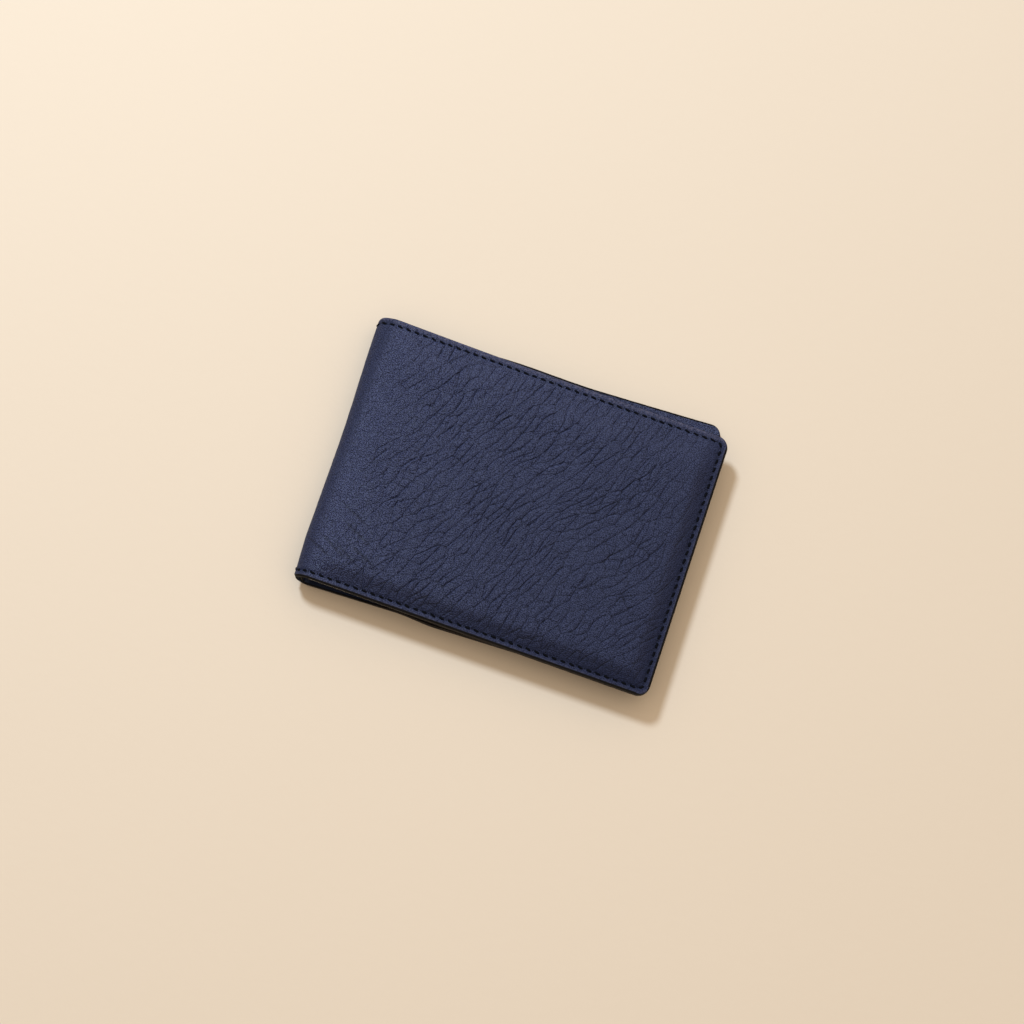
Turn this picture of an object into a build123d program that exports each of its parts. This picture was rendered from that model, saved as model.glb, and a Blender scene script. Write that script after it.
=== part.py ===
from build123d import *
import os
from collections import namedtuple
from math import radians, tan

os.makedirs("parts", exist_ok=True)

# A closed bifold wallet lies on its rear leaf: the fold runs along Y at low X, the leaves' free
# edges are at high X, and the banknote compartment opens towards high Y. Units are millimetres.
# The origin is under the middle of the wallet, on the surface that it lies on.
#
# Each leaf is a stack of thin layers. A layer's depth is counted from the leaf's outer face
# inwards, so one set of functions makes the rear leaf upwards and the front leaf downwards.

# Overall size, closed
WALLET_LENGTH = 115.4
LEAF_HEIGHT = 86.2
WALLET_THICKNESS = 11.0
REAR_LEAF_SHORTER = 3.2
FREE_CORNER_R = 3.8
FOLD_CORNER_R = 1.2
LEAF_SKEW = 1.15  # degrees that each leaf turns from square to the fold
LEAF_SHIFT = 0.5  # how far each leaf has slid along the fold

# Layers, from the outer face inwards
COVER_T = 1.2
PADDING_T = 0.7
LINING_T = 0.3
NOTE_GAP = 0.4
DIVIDER_T = 0.35
SLIP_GAP = 0.1
CARD_PANEL_T = 0.45
CARD_GAP = 0.1
POCKET_T = 0.42

# Seams and thread
SEAM_MARGIN = 2.0
GROOVE_WIDTH = 0.9
GROOVE_DEPTH = 0.3
STITCH_PITCH = 2.8
STITCH_LENGTH = 1.9
THREAD_WIDTH = 0.6
THREAD_T = 0.25
INNER_THREAD_T = 0.2

# Banknote compartment and card pockets, measured up from a leaf's lower edge
DIVIDER_TOP = 79.0
PADDING_NEAR = 2.0
CARD_PANEL_NEAR = 8.0
CARD_SEAM_WIDTH = 3.5
LOWER_POCKET_TOP = 44.0
LOWER_CARD_STOP = 4.0
POCKET_STEP = 10.0
POCKET_NAMES = ["lower", "middle", "upper"]

# Angles round the fold, in degrees from the rear leaf's end of it
HINGE_ANGLE = 45.0
HINGE_CLEARANCE = 1.5
LEAF_FOLD_STITCH = 17.0
SPINE_FOLD_STITCHES = [60.0, 90.0, 120.0]
FOLD_STITCH_SWEEP = 20.0

# Worked out from the sizes above
FOLD_R = WALLET_THICKNESS / 2
FOLD_X = FOLD_R - WALLET_LENGTH / 2
FRONT_LENGTH = WALLET_LENGTH - FOLD_R
LINING_DEPTH = COVER_T + PADDING_T
DIVIDER_DEPTH = LINING_DEPTH + LINING_T + NOTE_GAP
CARD_PANEL_DEPTH = DIVIDER_DEPTH + DIVIDER_T + SLIP_GAP
POCKETS_DEPTH = CARD_PANEL_DEPTH + CARD_PANEL_T
THREAD_DEPTH = GROOVE_DEPTH - THREAD_T
SEAM_HEIGHTS = [SEAM_MARGIN, LEAF_HEIGHT - SEAM_MARGIN]
SEAM_CORNER_R = FREE_CORNER_R - SEAM_MARGIN
CLEAR_OF_WALLET = 2 * WALLET_LENGTH

Leaf = namedtuple("Leaf", "name side length")
REAR = Leaf("rear", -1, FRONT_LENGTH - REAR_LEAF_SHORTER)
FRONT = Leaf("front", 1, FRONT_LENGTH)


def level(leaf, depth):
    """Height above the table at a depth inside the leaf's outer face."""
    return depth if leaf.side < 0 else WALLET_THICKNESS - depth


def leaf_plane(leaf, depth):
    """Plane of a layer's outer face."""
    return Plane.XY.offset(level(leaf, depth))


def inwards(leaf, amount):
    """Signed distance to extrude from a leaf's plane towards the middle of the wallet."""
    return -leaf.side * amount


def leaf_point(leaf, along, up):
    """Plan position of a point, along the leaf from the fold's axis and up from its lower edge."""
    slide = leaf.side * (LEAF_SHIFT - along * tan(radians(LEAF_SKEW)))
    return (FOLD_X + along, up - LEAF_HEIGHT / 2 + slide)


def panel_line(leaf, near, far, low, high, fold_r=0, free_r=0):
    """Four-sided outline on the skewed leaf, with its corners rounded at the fold and free ends."""
    corners = [(near, low), (far, low), (far, high), (near, high)]
    points = [leaf_point(leaf, along, up) for along, up in corners]
    radii = [fold_r, free_r, free_r, fold_r]
    with BuildLine() as outline:
        FilletPolyline(*points, radius=radii, close=True)
    return outline.edges()


def panel(leaf, depth, thick, near, far, low, high, fold_r=0, free_r=0, mode=Mode.ADD):
    """Extrude a flat panel of the leaf, inwards from the depth of its outer face."""
    with BuildSketch(leaf_plane(leaf, depth)) as outline:
        make_face(panel_line(leaf, near, far, low, high, fold_r, free_r))
    extrude(outline.sketch, amount=inwards(leaf, thick), mode=mode)


def fold_band(slide, up, width, depth, thick, start, end, mode=Mode.ADD):
    """Extrude a ring sector about the fold's axis, between two angles in degrees round the fold.

    The band is centred up from the wallet's lower edge and reaches half its width each way.
    """
    edge = up - LEAF_HEIGHT / 2 + slide + width / 2
    centre = (FOLD_X, FOLD_R)
    radius = FOLD_R - depth
    with BuildSketch(Plane.XZ.offset(-edge)) as sector:
        with BuildLine():
            outer = CenterArc(centre, radius, -90 - start, start - end)
            inner = CenterArc(centre, radius - thick, -90 - start, start - end)
            Line(outer @ 0, inner @ 0)
            Line(outer @ 1, inner @ 1)
        make_face()
    extrude(sector.sketch, amount=width, mode=mode)


def leaf_bend(leaf, turn):
    """Angles round the fold of the stretch that bends with a leaf, turn degrees long."""
    return (0, turn) if leaf.side < 0 else (180 - turn, 180)


def bent_layer(leaf, depth, thick, high):
    """Leaf layer that goes on round the fold as far as the hinge, trimmed to the leaf's outline."""
    bend = leaf_bend(leaf, HINGE_ANGLE - HINGE_CLEARANCE)
    fold_band(0, LEAF_HEIGHT / 2, CLEAR_OF_WALLET, depth, thick, *bend)
    panel(leaf, depth, thick, 0, leaf.length, 0, high)
    with BuildSketch(Plane.XY) as outline:
        make_face(
            panel_line(leaf, -FOLD_R, leaf.length, 0, high, FOLD_CORNER_R, FREE_CORNER_R)
        )
    extrude(outline.sketch, amount=WALLET_THICKNESS, mode=Mode.INTERSECT)


def seam_groove(leaf):
    """Press the groove that the stitches lie in, round the leaf and on round the fold."""
    low, high = SEAM_HEIGHTS
    far = leaf.length - SEAM_MARGIN
    half = GROOVE_WIDTH / 2
    outside = panel_line(
        leaf, 0, far + half, low - half, high + half, free_r=SEAM_CORNER_R + half
    )
    inside = panel_line(
        leaf, 0, far - half, low + half, high - half, free_r=SEAM_CORNER_R - half
    )
    with BuildSketch(leaf_plane(leaf, 0)) as groove:
        make_face(outside)
        make_face(inside, mode=Mode.SUBTRACT)
    extrude(groove.sketch, amount=inwards(leaf, GROOVE_DEPTH), mode=Mode.SUBTRACT)
    bend = leaf_bend(leaf, HINGE_ANGLE)
    slide = leaf.side * LEAF_SHIFT
    for up in SEAM_HEIGHTS:
        fold_band(slide, up, GROOVE_WIDTH, 0, GROOVE_DEPTH, *bend, mode=Mode.SUBTRACT)


def seam_places(leaf):
    """Plan places of the seam's stitches, each turned along the seam."""
    low, high = SEAM_HEIGHTS
    far = leaf.length - SEAM_MARGIN
    points = [leaf_point(leaf, *end) for end in [(0, high), (far, high), (far, low), (0, low)]]
    with BuildLine():
        path = FilletPolyline(*points, radius=SEAM_CORNER_R)
    count = round(path.length / STITCH_PITCH)
    shares = [(index + 0.5) / count for index in range(count)]
    return [Location(tuple(path @ share), path.tangent_angle_at(share)) for share in shares]


def stitch_row(leaf, places, depth, thick):
    """Stitches on a leaf, each a flat thread with round ends."""
    with BuildSketch(leaf_plane(leaf, depth)) as threads:
        with Locations(*places):
            SlotOverall(STITCH_LENGTH, THREAD_WIDTH)
    extrude(threads.sketch, amount=inwards(leaf, thick))


def save(piece, name):
    """Label a finished piece and write the STEP file of its node."""
    piece.part.label = name
    export_step(piece.part, f"parts/{name}.step")


def make_cover(leaf):
    """Outer leather of one leaf."""
    with BuildPart() as cover:
        bent_layer(leaf, 0, COVER_T, LEAF_HEIGHT)
        seam_groove(leaf)
    save(cover, f"{leaf.name}_cover")


def make_padding(leaf):
    """Thin foam between the cover and the lining."""
    with BuildPart() as padding:
        panel(
            leaf, COVER_T, PADDING_T, PADDING_NEAR, leaf.length, 0, LEAF_HEIGHT,
            free_r=FREE_CORNER_R,
        )
    save(padding, f"{leaf.name}_padding")


def make_lining(leaf):
    """Outer wall of the banknote compartment."""
    with BuildPart() as lining:
        bent_layer(leaf, LINING_DEPTH, LINING_T, LEAF_HEIGHT)
    save(lining, f"{leaf.name}_lining")


def make_divider(leaf):
    """Inner wall of the banknote compartment, raised to the lining below and at the free edge."""
    far = leaf.length
    rim = CARD_SEAM_WIDTH
    rim_depth = DIVIDER_DEPTH - NOTE_GAP
    with BuildPart() as divider:
        bent_layer(leaf, DIVIDER_DEPTH, DIVIDER_T, DIVIDER_TOP)
        panel(
            leaf, rim_depth, NOTE_GAP, PADDING_NEAR, far, 0, DIVIDER_TOP, free_r=FREE_CORNER_R
        )
        panel(leaf, rim_depth, NOTE_GAP, 0, far - rim, rim, LEAF_HEIGHT, mode=Mode.SUBTRACT)
    save(divider, f"{leaf.name}_divider")


def make_card_panel(leaf):
    """Panel that carries the card pockets, with a slip pocket behind it open towards the fold."""
    near = CARD_PANEL_NEAR
    far = leaf.length
    rim = CARD_SEAM_WIDTH
    gap_depth = CARD_PANEL_DEPTH - SLIP_GAP
    with BuildPart() as card_panel:
        panel(
            leaf, gap_depth, SLIP_GAP + CARD_PANEL_T, near, far, 0, DIVIDER_TOP,
            free_r=FREE_CORNER_R,
        )
        panel(
            leaf, gap_depth, SLIP_GAP, 0, far - rim, rim, DIVIDER_TOP - rim, mode=Mode.SUBTRACT
        )
    save(card_panel, f"{leaf.name}_card_panel")


def make_pocket(leaf, name, row):
    """Card pocket, open at its top edge; row 0 is the lowest and lies innermost."""
    near = CARD_PANEL_NEAR
    far = leaf.length
    rim = CARD_SEAM_WIDTH
    top = LOWER_POCKET_TOP + row * POCKET_STEP
    stop = LOWER_CARD_STOP + row * POCKET_STEP
    layers_outside = len(POCKET_NAMES) - 1 - row
    gap_depth = POCKETS_DEPTH + layers_outside * (CARD_GAP + POCKET_T)
    with BuildPart() as pocket:
        panel(leaf, gap_depth, CARD_GAP + POCKET_T, near, far, 0, top, free_r=FREE_CORNER_R)
        panel(
            leaf, gap_depth, CARD_GAP, near + rim, far - rim, stop, LEAF_HEIGHT,
            mode=Mode.SUBTRACT,
        )
    save(pocket, f"{leaf.name}_pocket_{name}")


def stitch_depth(up):
    """Depth of the innermost face under a stitch, which lies on the higher side of a step."""
    low_end = up - STITCH_LENGTH / 2
    if low_end > DIVIDER_TOP:
        return LINING_DEPTH + LINING_T
    tops = [LOWER_POCKET_TOP + row * POCKET_STEP for row in range(len(POCKET_NAMES))]
    pockets_here = sum(low_end < top for top in tops)
    return POCKETS_DEPTH + pockets_here * (CARD_GAP + POCKET_T)


def make_outer_stitching(leaf):
    """Stitches in the cover's groove, and the first of the fold's on each long edge."""
    with BuildPart() as stitching:
        stitch_row(leaf, seam_places(leaf), THREAD_DEPTH, THREAD_T)
        start, end = leaf_bend(leaf, LEAF_FOLD_STITCH)
        middle = end if leaf.side < 0 else start
        half = FOLD_STITCH_SWEEP / 2
        for up in SEAM_HEIGHTS:
            fold_band(
                leaf.side * LEAF_SHIFT, up, THREAD_WIDTH, THREAD_DEPTH, THREAD_T,
                middle - half, middle + half,
            )
    save(stitching, f"{leaf.name}_outer_stitching")


def make_inner_stitching(leaf):
    """The same seam where it shows inside, on whichever layer is innermost."""
    rows = {}
    for place in seam_places(leaf):
        along = place.position.X - FOLD_X
        up = place.position.Y - leaf_point(leaf, along, 0)[1]
        if along > CARD_PANEL_NEAR + STITCH_LENGTH or up > DIVIDER_TOP:
            rows.setdefault(stitch_depth(up), []).append(place)
    with BuildPart() as stitching:
        for depth, places in rows.items():
            stitch_row(leaf, places, depth, INNER_THREAD_T)
    save(stitching, f"{leaf.name}_inner_stitching")


def make_pocket_stitching(leaf):
    """Seam along the fold side of the card pockets."""
    top = DIVIDER_TOP - CARD_SEAM_WIDTH
    count = round((top - CARD_SEAM_WIDTH) / STITCH_PITCH)
    rows = {}
    for index in range(count):
        up = CARD_SEAM_WIDTH + (index + 0.5) * (top - CARD_SEAM_WIDTH) / count
        place = Location((*leaf_point(leaf, CARD_PANEL_NEAR + SEAM_MARGIN, up), 0), 90)
        rows.setdefault(stitch_depth(up), []).append(place)
    with BuildPart() as stitching:
        for depth, places in rows.items():
            stitch_row(leaf, places, depth, INNER_THREAD_T)
    save(stitching, f"{leaf.name}_pocket_stitching")


def trim_spine_corners():
    """Round the ends of the fold as they are seen from above."""
    half = LEAF_HEIGHT / 2
    left = FOLD_X - FOLD_R
    points = [(left, -half), (FOLD_X, -half), (FOLD_X, half), (left, half)]
    with BuildSketch(Plane.XY) as outline:
        with BuildLine():
            FilletPolyline(*points, radius=[FOLD_CORNER_R, 0, 0, FOLD_CORNER_R], close=True)
        make_face()
    extrude(outline.sketch, amount=WALLET_THICKNESS, mode=Mode.INTERSECT)


def make_spine_layer(name, depth, thick, high, grooved=False):
    """Layer of the fold between the two hinges."""
    ends = (HINGE_ANGLE, 180 - HINGE_ANGLE)
    with BuildPart() as layer:
        fold_band(0, high / 2, high, depth, thick, *ends)
        trim_spine_corners()
        if grooved:
            for up in SEAM_HEIGHTS:
                fold_band(0, up, GROOVE_WIDTH, 0, GROOVE_DEPTH, *ends, mode=Mode.SUBTRACT)
    save(layer, name)


def make_spine_stitching():
    """Stitches round the fold at both ends of the spine."""
    half = FOLD_STITCH_SWEEP / 2
    with BuildPart() as stitching:
        for up in SEAM_HEIGHTS:
            for middle in SPINE_FOLD_STITCHES:
                ends = (middle - half, middle + half)
                fold_band(0, up, THREAD_WIDTH, THREAD_DEPTH, THREAD_T, *ends)
    save(stitching, "spine_stitching")


for leaf in [REAR, FRONT]:
    make_cover(leaf)
    make_padding(leaf)
    make_lining(leaf)
    make_divider(leaf)
    make_card_panel(leaf)
    for row, name in enumerate(POCKET_NAMES):
        make_pocket(leaf, name, row)
    make_outer_stitching(leaf)
    make_inner_stitching(leaf)
    make_pocket_stitching(leaf)

make_spine_layer("spine_cover", 0, COVER_T, LEAF_HEIGHT, grooved=True)
make_spine_layer("spine_lining", LINING_DEPTH, LINING_T, LEAF_HEIGHT)
make_spine_layer("spine_gusset", DIVIDER_DEPTH, DIVIDER_T, DIVIDER_TOP)
make_spine_stitching()
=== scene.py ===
from collections import namedtuple
from math import cos, pi, radians, sin, tan

import bmesh
import bpy
import numpy as np
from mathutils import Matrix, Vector


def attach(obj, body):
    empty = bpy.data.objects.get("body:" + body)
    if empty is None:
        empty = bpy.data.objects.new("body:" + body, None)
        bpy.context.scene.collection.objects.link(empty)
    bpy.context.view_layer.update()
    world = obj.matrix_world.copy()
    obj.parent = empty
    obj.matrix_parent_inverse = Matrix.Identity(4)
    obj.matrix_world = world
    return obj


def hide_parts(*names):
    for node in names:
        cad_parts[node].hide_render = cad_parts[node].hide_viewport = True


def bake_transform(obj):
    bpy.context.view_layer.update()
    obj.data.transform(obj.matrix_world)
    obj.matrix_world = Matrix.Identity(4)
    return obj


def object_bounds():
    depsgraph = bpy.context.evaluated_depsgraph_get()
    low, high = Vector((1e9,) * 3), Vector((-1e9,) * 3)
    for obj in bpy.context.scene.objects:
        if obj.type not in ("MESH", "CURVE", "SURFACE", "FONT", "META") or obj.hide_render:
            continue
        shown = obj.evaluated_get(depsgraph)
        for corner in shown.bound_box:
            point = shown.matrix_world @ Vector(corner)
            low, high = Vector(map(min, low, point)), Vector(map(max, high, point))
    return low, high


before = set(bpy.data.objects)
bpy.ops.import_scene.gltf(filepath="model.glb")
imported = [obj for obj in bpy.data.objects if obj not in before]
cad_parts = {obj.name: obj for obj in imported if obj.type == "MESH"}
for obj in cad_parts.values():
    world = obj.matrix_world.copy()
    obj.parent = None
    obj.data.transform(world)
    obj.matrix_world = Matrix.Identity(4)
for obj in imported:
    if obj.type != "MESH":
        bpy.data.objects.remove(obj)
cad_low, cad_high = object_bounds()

# A closed bifold wallet of navy pebbled leather on a pale floor. Every piece is worked out in
# millimetres on its leaf: along from the fold's axis (below zero goes on round the fold), up from
# the leaf's lower edge, and depth inwards from its outer face. place() turns that into the frame.
MM = 0.001

# Sizes restated from the CAD source, in millimetres
LEAF_HEIGHT = 86.2
REAR_LEAF_SHORTER = 3.2
FREE_CORNER_R = 3.8
LEAF_SKEW = radians(1.15)
LEAF_SHIFT = 0.5
COVER_T = 1.2
LINING_DEPTH = 1.9
LINING_T = 0.3
DIVIDER_DEPTH = 2.6
DIVIDER_T = 0.35
CARD_PANEL_DEPTH = 3.05
CARD_PANEL_T = 0.45
POCKETS_DEPTH = CARD_PANEL_DEPTH + CARD_PANEL_T
POCKET_T = 0.42
CARD_GAP = 0.1
DIVIDER_TOP = 79.0
CARD_PANEL_NEAR = 8.0
CARD_SEAM_WIDTH = 3.5
LOWER_POCKET_TOP = 44.0
POCKET_STEP = 10.0
POCKET_NAMES = ["lower", "middle", "upper"]
SEAM_MARGIN = 2.0
STITCH_PITCH = 2.8

# The closed size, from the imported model
WALLET_LENGTH = (cad_high.x - cad_low.x) / MM
WALLET_THICKNESS = (cad_high.z - cad_low.z) / MM
FOLD_R = WALLET_THICKNESS / 2
FOLD_X = FOLD_R - WALLET_LENGTH / 2
FRONT_LENGTH = WALLET_LENGTH - FOLD_R
SPINE_MIDDLE = -FOLD_R * pi / 2

# Looks that the plain CAD leaves out
SPINE_CORNER_R = 1.0
SPINE_FLARE = 0.95
SPINE_WAIST = 0.25
SPINE_TUCK = 0.6
SPINE_FLARE_FADE = 45.0
SPINE_TUCK_FADE = 14.0
FRONT_TAPER = 1.6
TOP_SWELL = 1.1
TOP_SWELL_START = 5.0
TOP_SWELL_LENGTH = 62.0
LOW_SWELL = 1.0
LOW_SWELL_START = 28.0
LOW_SWELL_END = 104.0
LOW_SWELL_EASE = 14.0
TOP_BOW = 0.3
RIM_DROP = 0.45
RIM_SLOPE = 11.0
SEAM_STEP = 0.3
SEAM_STEP_SLOPE = 1.5
FRONT_PLUMP = 1.9
PLUMP_SLOPE = 5.5
PLUMP_SLOPE_TOP = 14.0
FRONT_CROWN = 0.6
EDGE_R = 0.42
THIN_EDGE_R = 0.14
GROOVE_DEPTH = 0.1
GROOVE_HALF = 0.5
HOLE_DEPTH = 0.3
HOLE_R = 0.33
EDGE_INSET = 0.35
EDGE_STEPS = [0, 0.05, 0.13, 0.25, 0.4, 0.6, 0.85]
SEAM_SAMPLE = 0.05
BAND_STEP = 0.6
FOLD_LINE = 0.3
STITCH_WIDTH = 0.7
OUTER_STITCH_HEIGHT = 0.4
INNER_STITCH_HEIGHT = 0.26
STITCH_GAP = 0.38
STITCH_RISE = 0.16
STITCH_DIVE = 0.62
STITCH_LEAN = -0.15
FACING_T = 0.3
FACING_LOW = 68.0
CREASE_IN = 1.7
COVER_PITCH = 0.35
INNER_PITCH = 0.9
RECESS_NEAR = 1.4
RECESS_LENGTH = 45.0
RECESS_UP = 12.0

Leaf = namedtuple("Leaf", "name side length seed")
REAR = Leaf("rear", -1, FRONT_LENGTH - REAR_LEAF_SHORTER, 70)
FRONT = Leaf("front", 1, FRONT_LENGTH, 20)
LEAVES = [REAR, FRONT]


# ---- Small maths ----


def smooth(share):
    """Ease from 0 to 1, flat at both ends."""
    share = np.clip(share, 0, 1)
    return share * share * (3 - 2 * share)


def arch(share):
    """Rise from 0 to 1 in the middle and fall to 0 again."""
    return np.sin(pi * np.clip(share, 0, 1))


def bell(distance, width):
    """1 at no distance, falling to 0 over about twice the width."""
    return np.exp(-((distance / width) ** 2))


def value_noise(x, y, size, seed):
    """Smooth random values from 0 to 1 that change over about size millimetres."""
    table = np.random.default_rng(seed).random((64, 64))
    i, j = np.floor(x / size), np.floor(y / size)
    tx, ty = smooth(x / size - i), smooth(y / size - j)
    i, j = i.astype(int) % 64, j.astype(int) % 64
    i2, j2 = (i + 1) % 64, (j + 1) % 64
    low = table[i, j] * (1 - tx) + table[i2, j] * tx
    high = table[i, j2] * (1 - tx) + table[i2, j2] * tx
    return low * (1 - ty) + high * ty


# ---- Where things are on a leaf ----


def place(leaf, along, up, depth):
    """Points in the frame, in metres, of places on a leaf."""
    round_fold = np.clip(along / SPINE_MIDDLE, 0, 1)
    turn = round_fold * pi / 2
    flat = np.maximum(along, 0)
    slide = leaf.side * (LEAF_SHIFT * (1 - smooth(round_fold)) - flat * tan(LEAF_SKEW))
    if leaf.side > 0:
        wider = -FRONT_TAPER * flat / leaf.length
    else:
        wider = TOP_SWELL * arch((flat - TOP_SWELL_START) / TOP_SWELL_LENGTH) ** 2
        rising = smooth((flat - LOW_SWELL_START) / LOW_SWELL_EASE)
        falling = smooth((LOW_SWELL_END - flat) / LOW_SWELL_EASE)
        slide = slide - LOW_SWELL * rising * falling * (1 - up / LEAF_HEIGHT)
    slide = slide + wider * up / LEAF_HEIGHT
    bow = TOP_BOW * up / LEAF_HEIGHT * arch(flat / leaf.length)
    from_tip = np.minimum(FOLD_R * (1 - np.sin(turn)), SPINE_CORNER_R)
    corner = SPINE_CORNER_R - np.sqrt(SPINE_CORNER_R**2 - (SPINE_CORNER_R - from_tip) ** 2)
    upright = (up - LEAF_HEIGHT / 2) * (1 - corner / (LEAF_HEIGHT / 2))
    high_end = 1 - smooth((LEAF_HEIGHT - up) / SPINE_FLARE_FADE)
    flare = (SPINE_FLARE + SPINE_WAIST) * high_end - SPINE_WAIST
    flare = flare - SPINE_TUCK * (1 - smooth(up / SPINE_TUCK_FADE))
    radius = FOLD_R - depth + flare * smooth(round_fold)
    x = FOLD_X + flat - radius * np.sin(turn)
    y = upright + slide - bow
    z = FOLD_R + leaf.side * radius * np.cos(turn)
    return np.stack([x, y, z], axis=-1) * MM


def edge_distance(leaf, along, up):
    """Distance inwards from a leaf's lower, free and upper edges, with its corners round."""
    to_free = leaf.length - along
    to_long = np.minimum(up, LEAF_HEIGHT - up)
    in_x = np.maximum(FREE_CORNER_R - to_free, 0)
    in_y = np.maximum(FREE_CORNER_R - to_long, 0)
    corner = FREE_CORNER_R - np.hypot(in_x, in_y)
    return np.where((in_x > 0) & (in_y > 0), corner, np.minimum(to_free, to_long))


def layers_meet(along):
    """0 near the fold, where the inner layers stand back, rising to 1 where they fill the leaf."""
    return smooth((along - CARD_PANEL_NEAR) / RECESS_LENGTH)


def near_recess(along):
    """How far the card pockets' lower edges stand back from the leaf's edge."""
    return RECESS_NEAR * (1 - layers_meet(along))


def rounding(inside, radius):
    """How far a rounded edge has dropped, a distance inside it."""
    left = np.clip(radius - inside, 0, radius)
    return radius - np.sqrt(radius**2 - left**2)


def seam_line(leaf, start, margin):
    """Even points close together along the seam, from start round the leaf and back, and its length."""
    far = leaf.length - margin
    low, high = margin, LEAF_HEIGHT - margin
    r = max(FREE_CORNER_R - margin, 0.1)
    turns = np.linspace(0, pi / 2, 40)
    upper = np.stack([far - r + r * np.sin(turns), high - r + r * np.cos(turns)], axis=-1)
    lower = np.stack([far - r + r * np.cos(turns), low + r - r * np.sin(turns)], axis=-1)
    corners = np.concatenate([[[start, high]], upper, lower, [[start, low]]])
    steps = np.hypot(*np.diff(corners, axis=0).T)
    lengths = np.concatenate([[0], np.cumsum(steps)])
    even = np.linspace(0, lengths[-1], int(lengths[-1] / SEAM_SAMPLE))
    line = np.stack([np.interp(even, lengths, corners[:, k]) for k in (0, 1)], axis=-1)
    return line, lengths[-1]


def line_normals(line):
    """Directions square to a line of close points, at each of them."""
    tangent = np.gradient(line, axis=0)
    tangent /= np.hypot(*tangent.T)[:, None]
    return np.stack([-tangent[:, 1], tangent[:, 0]], axis=-1)


def stitch_centres(length):
    """Even places of a run's stitches, as lengths along it."""
    count = round(length / STITCH_PITCH)
    return (np.arange(count) + 0.5) * length / count


# ---- The outer leather's surface ----

# The grain: long cells whose borders are the creases, in millimetres
GRAIN_FLOW = radians(63)
MAJOR_CELL = 3.1
MAJOR_LONG = 2.4
MINOR_CELL = 2.1
MINOR_LONG = 1.3
CELL_SCATTER = 0.95
CREASE_WIDTH = 0.3
MAJOR_VALLEY = 0.07
MINOR_VALLEY = 0.03
MAJOR_SWELL = 0.08
MINOR_SWELL = 0.02
PEBBLE_SIZE = 0.75
PEBBLE_DEPTH = 0.05
BEND_SIZE = 34
BEND_REACH = 7
JITTER_SIZE = 6
JITTER_REACH = 1.3

# Creases across the grain are fainter: a second look at the cells, shifted along it, finds them
LINE_SHIFT = 0.2
CROSS_SHARE = 0.45
CROSS_FROM = 0.07
CROSS_TO = 0.18

# The material's own, finer relief of the creases
CREASE_DEPTH = 0.22
SHOULDER = 0.75
SHOULDER_DEPTH = 0.13

# Straight creases at the fold's lower end
PLEAT_TURN = radians(26.5)
PLEAT_LINES = [9.0, 12.2, 13.6, 16.7, 20.4, 24.0]
PLEAT_MIDDLES = [-4.5, -1.0, 4.5, 8.0, 1.5, -4.0]
PLEAT_REACH = 5.5
PLEAT_WIDTH = 0.36
PLEAT_DEPTH = 0.2


def flow_map(seed, along, up):
    """Coordinates along and across the grain, which wanders slowly over the hide."""
    bends = []
    for k in (0, 2):
        broad = value_noise(along, up, BEND_SIZE, seed + k) - 0.5
        local = value_noise(along, up, JITTER_SIZE, seed + k + 1) - 0.5
        bends.append(BEND_REACH * broad + JITTER_REACH * local)
    x, y = along + bends[0] + seed, up + bends[1] + 40
    lengthwise = x * cos(GRAIN_FLOW) + y * sin(GRAIN_FLOW)
    across = y * cos(GRAIN_FLOW) - x * sin(GRAIN_FLOW)
    return lengthwise, across


def texture_borders(x, y, cell):
    """Distance from the borders of Blender's own Voronoi cells, so that mesh and material agree."""
    mesh = bpy.data.meshes.new("samples")
    flat = np.stack([x.ravel(), y.ravel(), np.zeros(x.size)], axis=-1)
    mesh.from_pydata(flat.tolist(), [], [])
    samples = add_object("samples", mesh)
    group = bpy.data.node_groups.new("samples", "GeometryNodeTree")
    group.interface.new_socket("Geometry", in_out="INPUT", socket_type="NodeSocketGeometry")
    group.interface.new_socket("Geometry", in_out="OUTPUT", socket_type="NodeSocketGeometry")
    source, sink = group.nodes.new("NodeGroupInput"), group.nodes.new("NodeGroupOutput")
    where = add_node(group, "GeometryNodeInputPosition").outputs[0]
    borders = voronoi_borders(group, where, cell)
    inputs = {"Geometry": source.outputs[0], "Name": "border", "Value": borders}
    store = add_node(group, "GeometryNodeStoreNamedAttribute", inputs)
    group.links.new(store.outputs[0], sink.inputs[0])
    samples.modifiers.new("samples", "NODES").node_group = group
    graph = bpy.context.evaluated_depsgraph_get()
    found = samples.evaluated_get(graph).data.attributes["border"]
    distances = np.zeros(x.size, dtype=np.float32)
    found.data.foreach_get("value", distances)
    bpy.data.objects.remove(samples)
    bpy.data.meshes.remove(mesh)
    bpy.data.node_groups.remove(group)
    return distances.astype(float).reshape(x.shape) * cell


def long_lines(x, y, cell):
    """Distance from the borders of the grain's cells, and how far they run along the grain."""
    along_too = texture_borders(x + LINE_SHIFT * cell, y, cell) / cell
    crossing = smooth((along_too - CROSS_FROM) / (CROSS_TO - CROSS_FROM))
    return texture_borders(x, y, cell), 1 - (1 - CROSS_SHARE) * crossing


def crease_strength(seed, along, up):
    """How marked the creases are, from 0 to about 1: less near the fold, the end and its top corner."""
    patchy = value_noise(along, up, 4.5, seed + 6)
    broad = value_noise(along, up, 18, seed + 7)
    to_end, to_top = FRONT_LENGTH - along, LEAF_HEIGHT - up
    calm_fold = 0.3 + 0.7 * smooth((along + 2) / 24)
    calm_end = 0.65 + 0.35 * smooth(to_end / 18)
    calm_corner = 1 - 0.6 * np.exp(-((to_end / 24) ** 2) - (to_top / 30) ** 2)
    return calm_fold * (calm_end * calm_corner) * (0.5 + 0.75 * patchy) * (0.85 + 0.3 * broad)


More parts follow.
